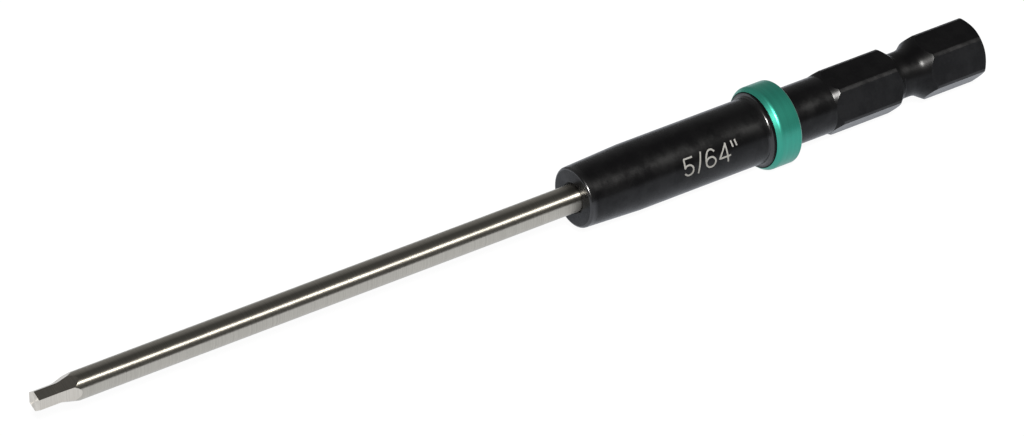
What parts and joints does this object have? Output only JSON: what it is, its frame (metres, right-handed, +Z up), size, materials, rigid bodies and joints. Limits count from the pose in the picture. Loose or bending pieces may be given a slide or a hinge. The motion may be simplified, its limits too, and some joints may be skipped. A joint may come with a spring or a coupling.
{
  "type": "hex driver",
  "caption": "Power-drive hex driver bit: a slim ground steel rod with a small hex tip, set in a turned black body with a colour ring and a hex shank with a detent groove.",
  "frame": {"origin": "Centre of the shank's end face, on the tool axis.", "axes": "+X runs along the tool axis out of the shank end, so the tip points to -X. +Z is up as the driver lies, and -Y is the side the picture is taken from."},
  "size_m": [0.1183, 0.0092, 0.0092],
  "materials": {
    "tool_steel": "ground bright",
    "black_oxide": "black oxide, satin",
    "green_anodised": "green anodised, satin"
  },
  "bodies": {
    "root": {"driver_shaft": "tool_steel", "drive_body": "black_oxide", "size_ring": "green_anodised"}
  },
  "joints": []
}
